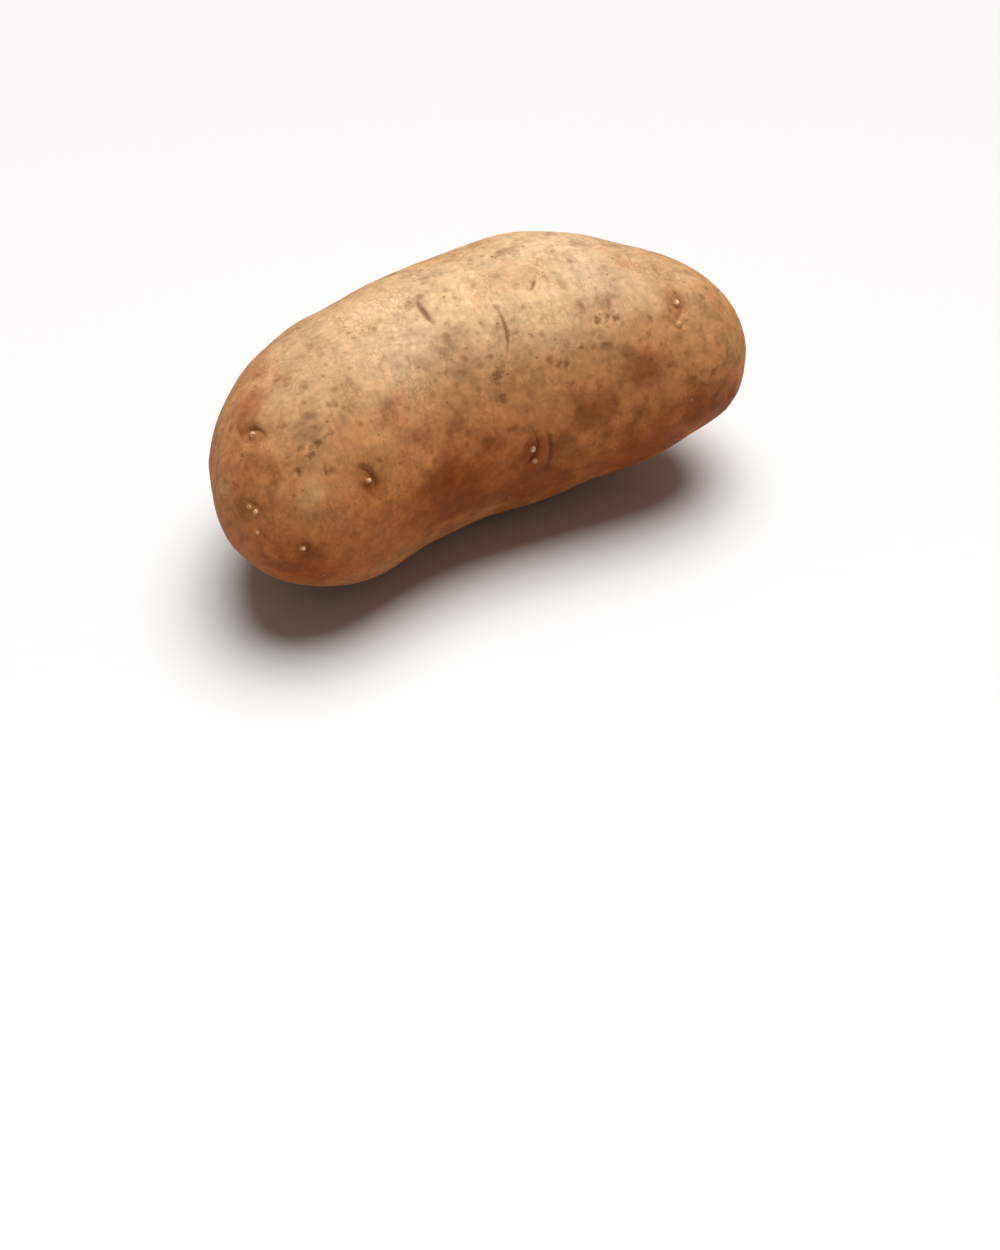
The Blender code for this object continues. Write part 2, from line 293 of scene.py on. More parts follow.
@dataclass
class Wiring:
    """Adds nodes to one tree and joins their sockets, for materials and for Geometry Nodes alike."""

    tree: bpy.types.NodeTree

    def node(self, kind: str, inputs: dict | None = None, **settings: object) -> bpy.types.Node:
        """Add a node, set it up and fill its inputs.

        Args:
            kind: the node's type name.
            inputs: by socket name or number, a value or the output socket that feeds it.
            settings: the node's own settings.

        Returns:
            The new node.
        """
        made = self.tree.nodes.new(kind)
        for name, value in settings.items():
            setattr(made, name, value)
        for key, value in (inputs or {}).items():
            if isinstance(value, NodeSocket):
                self.tree.links.new(value, made.inputs[key])
            else:
                made.inputs[key].default_value = value
        return made

    def math(self, operation: str, one: object, two: object = 0.0, clamp: bool = False) -> NodeSocket:
        """Combine two numbers and return the result's socket."""
        return self.node("ShaderNodeMath", {0: one, 1: two}, operation=operation, use_clamp=clamp).outputs[0]

    def blend(self, share: object, one: object, two: object, way: str = "MIX") -> NodeSocket:
        """Mix two colours by a share and return the result's socket."""
        by_number = {0: share, 6: one, 7: two}
        return self.node("ShaderNodeMix", by_number, data_type="RGBA", blend_type=way).outputs[2]

    def noise(self, where: object, spacing: float, detail: float = 3.0, rough: float = 0.5) -> NodeSocket:
        """Return soft noise from 0 to 1 whose blobs lie about spacing millimetres apart."""
        inputs = {"Vector": where, "Scale": 1 / (spacing * MM), "Detail": detail, "Roughness": rough}
        return self.node("ShaderNodeTexNoise", inputs).outputs[0]

    def pushed(self, where: object, waves: float, detail: float, share: float) -> NodeSocket:
        """Push a place about by coloured noise, so that what is drawn there gets wavy edges.

        Args:
            where: the place.
            waves: how many waves of the noise go to a metre.
            detail: how many finer waves it carries.
            share: how much of the noise is mixed into the place.

        Returns:
            The pushed place.
        """
        inputs = {"Vector": where, "Scale": waves, "Detail": detail}
        push = self.node("ShaderNodeTexNoise", inputs).outputs["Color"]
        return self.node("ShaderNodeMix", {0: share, 4: where, 5: push}, data_type="VECTOR").outputs[1]

    def ramp(self, value: object, stops: tuple) -> NodeSocket:
        """Find the colour between stops.

        Args:
            value: where on the ramp, from 0 to 1.
            stops: the stops, each its place and its linear colour.

        Returns:
            The colour.
        """
        made = self.node("ShaderNodeValToRGB", {0: value})
        points = made.color_ramp.elements
        while len(points) < len(stops):
            points.new(1.0)
        for point, (place, colour) in zip(points, stops):
            point.position = place
            point.color = colour
        return made.outputs["Color"]

    def step(self, value: object, low: float, high: float, top: float = 1.0) -> NodeSocket:
        """Return 0 below low, top above high and a smooth rise between them."""
        inputs = {"Value": value, "From Min": low, "From Max": high, "To Max": top}
        return self.node("ShaderNodeMapRange", inputs, interpolation_type="SMOOTHSTEP").outputs[0]

    def mark(self, name: str) -> NodeSocket:
        """Return the strength, 0 to 1, of a mark that a shaded piece's points carry."""
        return self.node("ShaderNodeAttribute", attribute_name=name).outputs["Fac"]

    def held(self, name: str) -> NodeSocket:
        """Return the strength, 0 to 1, of a mark in a Geometry Nodes tree."""
        return self.node("GeometryNodeInputNamedAttribute", {"Name": name}, data_type="FLOAT").outputs[0]

    def draw(self, least: object, most: object, seed: int) -> NodeSocket:
        """Return a number drawn between two others, with its own seed."""
        inputs = {2: least, 3: most, "Seed": seed}
        return self.node("FunctionNodeRandomValue", inputs, data_type="FLOAT").outputs[1]

    def finish(self, geometry: NodeSocket, material: bpy.types.Material) -> None:
        """End a Geometry Nodes tree: make its instances real, dress them and put them out.

        Args:
            geometry: what the tree has made.
            material: what it is made of.
        """
        real = self.node("GeometryNodeRealizeInstances", {0: geometry}).outputs[0]
        dressed = self.node("GeometryNodeSetMaterial", {"Geometry": real, "Material": material}).outputs[0]
        self.node("NodeGroupOutput", {0: dressed})


def fresh_material(name: str) -> tuple:
    """Make a material with one Principled BSDF.

    Args:
        name: the material's name.

    Returns:
        The material, the wiring of its tree and its shader node.
    """
    material = bpy.data.materials.new(name)
    material.use_nodes = True
    return material, Wiring(material.node_tree), material.node_tree.nodes["Principled BSDF"]


def fresh_growth(name: str, inputs: dict) -> Wiring:
    """Start a Geometry Nodes tree that takes a mesh and named numbers.

    Args:
        name: the tree's name.
        inputs: the first value of each named input.

    Returns:
        The wiring of the tree.
    """
    tree = bpy.data.node_groups.new(name, "GeometryNodeTree")
    for way in ("INPUT", "OUTPUT"):
        tree.interface.new_socket("Geometry", in_out=way, socket_type="NodeSocketGeometry")
    for label, value in inputs.items():
        kind = "NodeSocketInt" if isinstance(value, int) else "NodeSocketFloat"
        tree.interface.new_socket(label, in_out="INPUT", socket_type=kind).default_value = value
    return Wiring(tree)


def put(name: str, data: bpy.types.ID) -> bpy.types.Object:
    """Make an object and put it into the scene.

    Args:
        name: the object's name.
        data: its mesh, lamp or camera.

    Returns:
        The object, at the origin.
    """
    made = bpy.data.objects.new(name, data)
    bpy.context.scene.collection.objects.link(made)
    return made


def plain_mesh(name: str, shape: bmesh.types.BMesh) -> bpy.types.Mesh:
    """Turn a shape into a mesh and let the shape go.

    Args:
        name: the mesh's name.
        shape: the shape.

    Returns:
        The mesh.
    """
    mesh = bpy.data.meshes.new(name)
    shape.to_mesh(mesh)
    shape.free()
    return mesh


def grown(raw: bpy.types.Object, name: str, wires: Wiring, inputs: dict) -> bpy.types.Object:
    """Run a Geometry Nodes tree on an object and keep the result as a plain mesh.

    Args:
        raw: the object that the tree starts from, which is removed.
        name: the finished piece's name.
        wires: the wiring of the tree.
        inputs: the value of each named input.

    Returns:
        The finished piece, at the origin.
    """
    modifier = raw.modifiers.new("grown", "NODES")
    modifier.node_group = wires.tree
    for item in wires.tree.interface.items_tree:
        if item.name in inputs:
            modifier[item.identifier] = inputs[item.name]
    mesh = bpy.data.meshes.new_from_object(raw.evaluated_get(bpy.context.evaluated_depsgraph_get()))
    mesh.name = name
    mesh.shade_smooth()
    bpy.data.objects.remove(raw)
    return put(name, mesh)


@dataclass(frozen=True)
class Glow:
    """How light spreads under a surface: how much, how far in millimetres and each colour's share of that."""

    weight: float
    reach: float
    shares: tuple

    def set_on(self, shader: bpy.types.Node) -> None:
        """Give the glow to a shader.

        Args:
            shader: the shader's node.
        """
        shader.inputs["Subsurface Weight"].default_value = self.weight
        shader.inputs["Subsurface Radius"].default_value = self.shares
        shader.inputs["Subsurface Scale"].default_value = self.reach * MM


@dataclass(frozen=True)
class Freckle:
    """One size of freckle: its spacing in millimetres and its reach as a share of that.

    Its bare share is how much of the skin goes without it, and its strength is how dark it is.
    """

    spacing: float
    reach: float
    bare: float
    strength: float


@dataclass(frozen=True)
class SkinFinish:
    """Dry potato skin: tan, with blotches, freckles and a fine russet net, and with painted light and shade
    by height: paler on top where the light falls, darker and redder low on its sides.

    The body's colours go from the foot up, over the body's height, and wander by the drift, in millimetres.
    The shift, in metres, sets a second family of noises apart from the first.
    """

    # Painted light and shade: the stops grow paler towards the top, where the light falls, and are darkest
    # and reddest a third of the way up, where the lower sides lie in shade.
    body: tuple = (
        (0.0, srgb(178, 126, 82)),
        (0.18, srgb(170, 108, 62)),
        (0.33, srgb(164, 92, 44)),
        (0.5, srgb(188, 112, 58)),
        (0.65, srgb(191, 129, 80)),
        (0.78, srgb(189, 137, 91)),
        (0.95, srgb(221, 188, 149)),
    )
    body_height: float = 66.0
    drift: float = 14.0
    shift: tuple = (0.3, 0.1, 0.2)
    rosy: tuple = srgb(196, 124, 86)
    ochre: tuple = srgb(188, 142, 78)
    russet: tuple = srgb(137, 69, 25)
    # Painted shade: the dark red-brown laid on the lower front and in the hollow round the bend eye.
    rust: tuple = srgb(134, 61, 6)
    # The skin's paler tone, also used for the painted highlight on the two crowns.
    pale: tuple = srgb(233, 194, 144)
    dirt: tuple = srgb(150, 112, 72)
    green: tuple = srgb(160, 138, 80)
    scab: tuple = srgb(104, 58, 26)
    brown: tuple = srgb(116, 66, 30)
    # Painted shade in the creases and the fine folds round the buds.
    deep: tuple = srgb(98, 48, 22)
    bud: tuple = srgb(214, 164, 118)
    tones: tuple = (
        (Tone.RUSSET, 0.7),
        (Tone.PAINTED_SHADE, 0.85),
        (Tone.ROSY, 0.7),
        (Tone.GREEN, 0.6),
        (Tone.DIRT, 0.6),
        (Tone.PALE, 0.6),
    )
    freckle_sizes: tuple = (
        Freckle(1.6, 0.28, 0.5, 0.35),
        Freckle(2.6, 0.27, 0.35, 0.45),
        Freckle(4.2, 0.22, 0.25, 0.5),
    )
    roughness: float = 0.62
    wear: float = 0.2
    gloss: float = 0.1
    glow: Glow = Glow(0.06, 1.2, (1.0, 0.35, 0.15))
    bump_strength: float = 0.32
    bump_depth: float = 0.12

    def light_and_shade_by_height(self, wires: Wiring, place: NodeSocket, moved: NodeSocket) -> NodeSocket:
        """Colour the skin by its height, with painted light paling its top and painted shade darkening its
        lower sides, and with rosy and ochre flushes.

        Args:
            wires: the material's wiring.
            place: the place on the skin.
            moved: the same place for the second family of noises.

        Returns:
            The colour.
        """
        height = wires.node("ShaderNodeSeparateXYZ", {0: place}).outputs["Z"]
        broad = wires.math("SUBTRACT", wires.noise(place, spacing=30, detail=2), 0.5)
        rise = wires.math("ADD", height, wires.math("MULTIPLY", broad, self.drift * MM))
        # Painted light and shade: the height ramp pales the top and darkens the lower sides.
        colour = wires.ramp(wires.math("DIVIDE", rise, self.body_height * MM), self.body)
        rosy = wires.step(wires.noise(moved, spacing=17), low=0.52, high=0.72, top=0.4)
        ochre = wires.step(wires.noise(moved, spacing=21), low=0.5, high=0.3, top=0.2)
        return wires.blend(ochre, wires.blend(rosy, colour, self.rosy), self.ochre)

    def patched(self, wires: Wiring, colour: NodeSocket, blotch: NodeSocket) -> NodeSocket:
        """Lay the patches of other tones over the skin, their edges broken up by its blotches.

        Args:
            wires: the material's wiring.
            colour: the colour so far.
            blotch: the noise of the blotches.

        Returns:
            The colour.
        """
        for tone, strength in self.tones:
            edge = wires.math("ADD", wires.mark(tone.value), wires.math("SUBTRACT", blotch, 0.5))
            share = wires.step(edge, low=0.1, high=0.8, top=strength)
            colour = wires.blend(share, colour, getattr(self, tone.value))
        return wires.blend(wires.step(blotch, low=0.54, high=0.72, top=0.3), colour, self.russet)

    def shaded(self, wires: Wiring, colour: NodeSocket, grains: tuple) -> NodeSocket:
        """Darken and lighten the skin by several sizes of noise.

        Args:
            wires: the material's wiring.
            colour: the colour so far.
            grains: for each noise its socket, its darkest and its lightest factor.

        Returns:
            The colour.
        """
        for grain, dark, light in grains:
            span = {"Value": grain, "From Min": 0.32, "From Max": 0.68, "To Min": light, "To Max": dark}
            shade = wires.node("ShaderNodeMapRange", span).outputs[0]
            colour = wires.blend(1.0, colour, shade, way="MULTIPLY")
        return colour

    def eyed(self, wires: Wiring, colour: NodeSocket, fine: NodeSocket) -> NodeSocket:
        """Darken the hollows, partly the eyes' own darker skin and partly painted shade, paint shade into the
        creases and the folds round the buds, darken the ragged specks and pale the skin round the buds.

        Args:
            wires: the material's wiring.
            colour: the colour so far.
            fine: the finest noise.

        Returns:
            The colour.
        """
        # The hollows darken, partly as the eyes' own darker skin and partly as painted shade.
        hollow = wires.step(wires.mark("hollow"), low=0.15, high=1.0, top=0.6)
        colour = wires.blend(hollow, colour, self.russet)
        # Painted shade: the creases and the fine folds round the buds are darkened towards the deep colour.
        fold = wires.step(wires.mark("fold"), low=0.15, high=0.9, top=0.6)
        colour = wires.blend(fold, colour, self.deep)
        ragged = wires.math("MULTIPLY", wires.math("SUBTRACT", fine, 0.5), 1.6)
        crust = wires.math("ADD", wires.mark(Tone.SCAB.value), ragged)
        colour = wires.blend(wires.step(crust, low=0.2, high=0.8, top=0.6), colour, self.scab)
        return wires.blend(wires.step(wires.mark("bud"), low=0.35, high=0.9, top=0.6), colour, self.bud)

    def colour(self, wires: Wiring, place: NodeSocket) -> NodeSocket:
        """Lay everything that colours the skin over each other.

        Args:
            wires: the material's wiring.
            place: the place on the skin.

        Returns:
            The final colour.
        """
        moved = wires.node("ShaderNodeMapping", {"Vector": place, "Location": self.shift}).outputs[0]
        blotch = wires.noise(place, spacing=6, detail=4, rough=0.6)
        mottle = wires.noise(moved, spacing=2.7, rough=0.55)
        fine = wires.noise(place, spacing=1.1, detail=4, rough=0.62)
        colour = self.patched(wires, self.light_and_shade_by_height(wires, place, moved), blotch)
        colour = self.shaded(wires, colour, ((blotch, 0.88, 1.14), (mottle, 0.86, 1.13), (fine, 0.9, 1.1)))
        colour = wires.blend(self.streaks(wires, place), colour, self.brown)
        colour = wires.blend(self.net(wires, place), colour, self.russet)
        colour = wires.blend(self.freckles(wires, place), colour, self.brown)
        return self.eyed(wires, colour, fine)

    def streaks(self, wires: Wiring, place: NodeSocket) -> NodeSocket:
        """Return the strength of the faint rub marks, which run round the tuber."""
        stretch = wires.node("ShaderNodeMapping", {"Vector": place, "Scale": (1.0, 0.16, 0.16)}).outputs[0]
        return wires.step(wires.noise(stretch, spacing=1.0), low=0.55, high=0.75, top=0.18)

    def net(self, wires: Wiring, place: NodeSocket) -> NodeSocket:
        """Draw the fine russet net, in patches and a little longer round the tuber than along it.

        Args:
            wires: the material's wiring.
            place: the place on the skin.

        Returns:
            Its strength.
        """
        stretch = wires.node("ShaderNodeMapping", {"Vector": place, "Scale": (1.0, 0.6, 0.6)}).outputs[0]
        cells = {"Vector": wires.pushed(stretch, waves=420, detail=3, share=0.0022), "Scale": 900.0}
        edge = wires.node("ShaderNodeTexVoronoi", cells, feature="DISTANCE_TO_EDGE").outputs["Distance"]
        lines = wires.math("SUBTRACT", 1.0, wires.step(edge, low=0.0, high=0.16))
        where = wires.step(wires.noise(place, spacing=7), low=0.4, high=0.7, top=0.32)
        return wires.math("MULTIPLY", lines, where)

    def freckles(self, wires: Wiring, place: NodeSocket) -> NodeSocket:
        """Draw the brown freckles, which crowd where the skin is dirty or russet.

        Args:
            wires: the material's wiring.
            place: the place on the skin.

        Returns:
            Their strength.
        """
        marks = wires.math("ADD", wires.mark(Tone.DIRT.value), wires.mark(Tone.RUSSET.value))
        broad = wires.noise(place, spacing=13, detail=2)
        crowd = wires.math("ADD", broad, wires.math("MULTIPLY", marks, 0.25))
        bent = wires.pushed(place, waves=700, detail=2, share=0.0011)
        total = 0.0
        for size in self.freckle_sizes:
            cell = wires.node("ShaderNodeTexVoronoi", {"Vector": bent, "Scale": 1 / (size.spacing * MM)})
            pick = wires.node("ShaderNodeSeparateColor", {0: cell.outputs["Color"]}).outputs
            reach = wires.math("MULTIPLY", wires.math("ADD", pick[1], 0.5), size.reach)
            near = wires.math("DIVIDE", cell.outputs["Distance"], reach)
            kept = wires.step(pick[0], low=size.bare, high=size.bare + 0.2, top=size.strength)
            spot = wires.math("MULTIPLY", wires.step(near, low=1.2, high=0.3), kept)
            total = wires.math("MAXIMUM", total, spot)
        return wires.math("MULTIPLY", total, wires.step(crowd, low=0.32, high=0.62))

    def make(self) -> bpy.types.Material:
        """Build the material.

        Returns:
            The material.
        """
        material, wires, shader = fresh_material("potato skin")
        place = wires.node("ShaderNodeTexCoord").outputs["Object"]
        wires.tree.links.new(self.colour(wires, place), shader.inputs["Base Color"])
        worn = wires.noise(place, spacing=4, detail=4, rough=0.6)
        rough = wires.math("ADD", self.roughness - self.wear / 2, wires.math("MULTIPLY", worn, self.wear))
        wires.tree.links.new(rough, shader.inputs["Roughness"])
        shader.inputs["Specular IOR Level"].default_value = self.gloss
        self.glow.set_on(shader)
        scurf = wires.math("ADD", self.net(wires, place), self.freckles(wires, place))
        grit = wires.noise(place, spacing=0.6, detail=4, rough=0.6)
        grain = wires.math("ADD", grit, wires.math("MULTIPLY", scurf, -0.5))
        bump = {"Height": grain, "Strength": self.bump_strength, "Distance": self.bump_depth * MM}
        wires.tree.links.new(wires.node("ShaderNodeBump", bump).outputs[0], shader.inputs["Normal"])
        return material


@dataclass(frozen=True)
class BudFinish:
    """The pale, slightly waxy tip of a resting bud, pinkish at its foot."""

    tip: tuple = srgb(236, 196, 156)
    foot: tuple = srgb(176, 116, 74)
    roughness: float = 0.48
    glow: Glow = Glow(0.15, 0.6, (1.0, 0.5, 0.25))

    def make(self) -> bpy.types.Material:
        """Build the material.

        Returns:
            The material.
        """
        material, wires, shader = fresh_material("bud scale")
        place = wires.node("ShaderNodeTexCoord").outputs["Object"]
        colour = wires.blend(wires.step(wires.mark("rise"), low=0.1, high=0.8), self.foot, self.tip)
        stain = wires.step(wires.noise(place, spacing=0.5), low=0.45, high=0.7, top=0.5)
        wires.tree.links.new(wires.blend(stain, colour, self.foot), shader.inputs["Base Color"])
        shader.inputs["Roughness"].default_value = self.roughness
        self.glow.set_on(shader)
        return material


@dataclass(frozen=True)
class CorkFinish:
    """Dry brown cork of the pores."""

    light: tuple = srgb(182, 132, 88)
    dark: tuple = srgb(140, 92, 54)
    roughness: float = 0.8

    def make(self) -> bpy.types.Material:
        """Build the material.

        Returns:
            The material.
        """
        material, wires, shader = fresh_material("pore cork")
        place = wires.node("ShaderNodeTexCoord").outputs["Object"]
        broad = wires.step(wires.noise(place, spacing=5, detail=2), low=0.35, high=0.7)
        stain = wires.step(wires.noise(place, spacing=0.4), low=0.4, high=0.7, top=0.5)
        colour = wires.blend(stain, wires.blend(broad, self.light, self.dark), self.dark)
        wires.tree.links.new(colour, shader.inputs["Base Color"])
        shader.inputs["Roughness"].default_value = self.roughness
        return material


@dataclass(frozen=True)
class FloorFinish:
    """Plain pale board with a faint gloss."""

    colour: tuple = (0.81, 0.81, 0.81, 1.0)
    roughness: float = 0.3
    gloss: float = 0.3

    def make(self) -> bpy.types.Material:
        """Build the material.

        Returns:
            The material.
        """
        material, _, shader = fresh_material("pale floor")
        shader.inputs["Base Color"].default_value = self.colour
        shader.inputs["Roughness"].default_value = self.roughness
        shader.inputs["Specular IOR Level"].default_value = self.gloss
        return material


@dataclass
class Seat:
    """Where an eye sits on the skin, with the directions that its shape is drawn in."""

    eye: Eye
    centre: Vector
    normal: Vector
    forward: Vector = field(init=False)
    side: Vector = field(init=False)

    def __post_init__(self) -> None:
        """Work out which way the brow lies: towards the stem end, turned by the eye's own angle."""
        to_stem = (Vector((1, 0, 0)) - self.normal * self.normal.x).normalized()
        across = self.normal.cross(to_stem)
        turn = math.radians(self.eye.turn)
        self.forward = to_stem * math.cos(turn) + across * math.sin(turn)
        self.side = across * math.cos(turn) - to_stem * math.sin(turn)


@dataclass
class Skin:
    """The whole skin as one closed mesh, finer than the frame's solid and with its small relief.

    Sizes are in millimetres. The shares say how far an eye's marks and its hollow reach, against the basin of
    the eye, and the squeeze draws the hollow out along the brow.
    """

    view: Viewpoint
    weld: float = 0.002
    rounding: int = 2
    cell: float = 0.73
    refined_reaches: tuple = (4.2, 2.1)
    seat_reach: float = 3.2
    moat: Fold = Fold(1.25, 0.1, 0.4)
    folds: tuple = (
        Fold(1.4, 0.26, 0.42, 1.8),
        Fold(4.2, 0.1, 0.34, 1.8),
        Fold(5.4, 0.06, 0.34, 1.8),
        Fold(-2.0, 0.12, 0.36, -2.6),
    )
    moat_shade: float = 0.45
    fold_shade: float = 3.0
    eye_share: float = 2.2
    hollow_share: float = 0.6
    hollow_squeeze: float = 0.6
    bud_radius: float = 0.75
    patch_falloff: float = 2.0
    calm_rounds: int = 8
    calm_factor: float = 0.5
    crease_steps: int = 24
    crease_taper: float = 0.8
    crease_calm: float = 3.5
    foot_calm: float = 1.5
    ripples: tuple = (Ripple("Lump", 0.3, 9.0), Ripple("Dimple", 0.1, 2.8), Ripple("Grain", 0.035, 1.3))
    finish: SkinFinish = field(default_factory=SkinFinish)
    seats: dict[str, Seat] = field(default_factory=dict)
    lines: dict[str, list[Vector]] = field(default_factory=dict)

    def smooth_form(self) -> bpy.types.Mesh:
        """Copy the frame's solid, join its loose triangles and round its facets off.

        Returns:
            A smooth mesh of the same shape.
        """
        shape = bmesh.new()
        shape.from_mesh(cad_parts[NODE].data)
        bmesh.ops.remove_doubles(shape, verts=shape.verts, dist=self.weld * MM)
        holder = put("form", plain_mesh("form", shape))
        rounded = holder.modifiers.new("rounded", "SUBSURF")
        rounded.levels = self.rounding
        rounded.render_levels = self.rounding
        smooth = bpy.data.meshes.new_from_object(holder.evaluated_get(bpy.context.evaluated_depsgraph_get()))
        bpy.data.objects.remove(holder)
        return smooth

    def even_mesh(self, form: bpy.types.Mesh) -> bmesh.types.BMesh:
        """Divide the smooth form into small even faces.

        Args:
            form: the smooth form.

        Returns:
            The evenly divided form.
        """
        holder = put("even", form)
        remesh = holder.modifiers.new("even faces", "REMESH")
        remesh.mode = "VOXEL"
        remesh.voxel_size = self.cell * MM
        even = bmesh.new()
        even.from_object(holder, bpy.context.evaluated_depsgraph_get())
        bpy.data.objects.remove(holder)
        return even

    def lay_creases(self, surface: BVHTree) -> None:
        """Find the points of each crease on the surface, from its start through its middle to its end.

        Args:
            surface: the smooth form.
        """
        for name, crease in CREASES.items():
            pixels = (crease.start, crease.middle, crease.end)
            start, middle, end = (self.view.land(pixel, surface) for pixel in pixels)
            pull = (4 * middle - start - end) / 2
            line = []
            for k in range(self.crease_steps + 1):
                f = k / self.crease_steps
                spot = start * (1 - f) ** 2 + 2 * pull * f * (1 - f) + end * f * f
                line.append(surface.find_nearest(spot * MM)[0] / MM)
            self.lines[name] = line

    def crease_spots(self) -> list[Vector]:
        """Return the ends and the middle of every crease, in metres."""
        marked = (0, self.crease_steps // 2, self.crease_steps)
        return [line[k] * MM for line in self.lines.values() for k in marked]

    def refine(self, skin: bmesh.types.BMesh, reach: float) -> None:
        """Halve the edges of the skin near the eyes and the creases.

        Args:
            skin: the divided skin.
            reach: how near, in millimetres.
        """
        spots = [Vector(eye.at) * MM for eye in EYES.values()] + self.crease_spots()
        near = []
        for edge in skin.edges:
            middle = (edge.verts[0].co + edge.verts[1].co) / 2
            if any((middle - spot).length < reach * MM for spot in spots):
                near.append(edge)
        bmesh.ops.subdivide_edges(skin, edges=near, cuts=1, use_grid_fill=True)

    def calm(self, skin: bmesh.types.BMesh) -> None:
        """Smooth away the last facets of the solid, but not in the creases.

        Args:
            skin: the divided skin.
        """
        spots = self.crease_spots()
        plain = [v for v in skin.verts if all((v.co - spot).length > self.crease_calm * MM for spot in spots)]
        axes = {"use_axis_x": True, "use_axis_y": True, "use_axis_z": True}
        for _ in range(self.calm_rounds):
            bmesh.ops.smooth_vert(skin, verts=plain, factor=self.calm_factor, **axes)

    def find_seats(self, skin: bmesh.types.BMesh) -> None:
        """Find each eye's place on the skin and its normal, averaged over its hollow.

        Args:
            skin: the divided skin.
        """
        for name, eye in EYES.items():
            at = Vector(eye.at) * MM
            near = [v for v in skin.verts if (v.co - at).length < self.seat_reach * MM]
            closest = min(near, key=lambda v: (v.co - at).length)
            normal = sum((v.normal for v in near), Vector()).normalized()
            self.seats[name] = Seat(eye, closest.co.copy(), normal)

    def eye_relief(self, seat: Seat, points: np.ndarray) -> tuple:
        """Work out the fine relief and the marks of one eye.

        Args:
            seat: the eye's seat.
            points: the skin's points, in millimetres.

        Returns:
            The height to add in millimetres, then the strengths of hollow, fold and bud.
        """
        away = points - np.array(seat.centre) / MM
        u, s = away @ np.array(seat.forward), away @ np.array(seat.side)
        reach = np.linalg.norm(away, axis=1)
        near = reach < self.eye_share * seat.eye.basin
        shade = seat.eye.shade
        spread = self.hollow_share * seat.eye.basin
        hollow = np.exp(-(u**2 + self.hollow_squeeze * s**2) / spread**2) * shade
        ring = np.exp(-(((reach - self.moat.gap) / self.moat.width) ** 2))
        bud = np.exp(-((reach / self.bud_radius) ** 4)) if seat.eye.tip is not Tip.NONE else 0 * reach
        height = -self.moat.depth * ring
        fold = self.moat_shade * ring * shade
        for line in self.folds if seat.eye.brow else ():
            across = (u - line.gap + s**2 / (line.bow * seat.eye.brow)) / line.width
            sharp = np.exp(-(across**2)) * np.exp(-((s / seat.eye.brow) ** 4)) * shade
            height -= line.depth * sharp
            fold = np.maximum(fold, self.fold_shade * line.depth * sharp)
        return near * height, near * hollow, near * fold, near * bud

    def crease_relief(self, crease: Crease, line: list, points: np.ndarray) -> tuple:
        """Work out the depth and the mark of one crease.

        Args:
            crease: the crease.
            line: its points on the skin.
            points: the skin's points, in millimetres.

        Returns:
            The height to add in millimetres and the strength of the fold.
        """
        fold = np.zeros(len(points))
        for k, spot in enumerate(line):
            away = np.linalg.norm(points - np.array(spot), axis=1) / crease.width
            taper = math.sin(math.pi * k / self.crease_steps) ** self.crease_taper
            fold = np.maximum(fold, taper * np.exp(-(away**2)))
        return -crease.depth * fold, crease.shade * fold

    def stain(self, surface: BVHTree, points: np.ndarray) -> dict:
        """Work out how strongly each tone's patches and specks colour the skin.

        Args:
            surface: the smooth form that they are laid on.
            points: the skin's points, in millimetres.

        Returns:
            The strength of each tone at the points, by its name.
        """
        stains = {tone.value: np.zeros(len(points)) for tone in Tone}
        spots = list(PATCHES.values())
        for group in SPECKS.values():
            spots += [Patch(at, group.reach, Tone.SCAB, group.strength) for at in group.places]
        for patch in spots:
            middle = np.array(self.view.land(patch.at, surface))
            away = np.linalg.norm(points - middle, axis=1) / patch.reach
            strength = patch.strength * np.exp(-self.patch_falloff * away**2)
            stains[patch.tone.value] = np.maximum(stains[patch.tone.value], strength)
        return stains

    def mark(self, skin: bmesh.types.BMesh, surface: BVHTree) -> None:
        """Press the fine relief of eyes and creases in, and note on each point what it is part of.

        Args:
            skin: the divided skin.
            surface: the smooth form that the marks are laid on.
        """
        points = np.array([v.co for v in skin.verts]) / MM
        height = np.zeros(len(points))
        marks = {name: np.zeros(len(points)) for name in ("hollow", "fold", "bud")}
        for seat in self.seats.values():
            rise, hollow, fold, bud = self.eye_relief(seat, points)
            height += rise
            for name, value in (("hollow", hollow), ("fold", fold), ("bud", bud)):
                marks[name] = np.maximum(marks[name], value)
        for name, crease in CREASES.items():
            rise, fold = self.crease_relief(crease, self.lines[name], points)
            height += rise
            marks["fold"] = np.maximum(marks["fold"], fold)
        marks.update(self.stain(surface, points))
        marks["free"] = np.clip(points[:, 2] / self.foot_calm, 0, 1)
        skin.verts.ensure_lookup_table()
        layers = {name: skin.verts.layers.float.new(name) for name in marks}
        for vert, rise in zip(skin.verts, height):
            vert.co += vert.normal * (rise * MM)
        for name, layer in layers.items():
            for vert, value in zip(skin.verts, marks[name]):
                vert[layer] = float(value)

    def relief_inputs(self) -> dict:
        """List the named inputs of the relief.

        Returns:
            Their values in metres, by name.
        """
        inputs = {}
        for ripple in self.ripples:
            inputs[f"{ripple.name} depth"] = ripple.depth * MM
            inputs[f"{ripple.name} spacing"] = ripple.spacing * MM
        return inputs

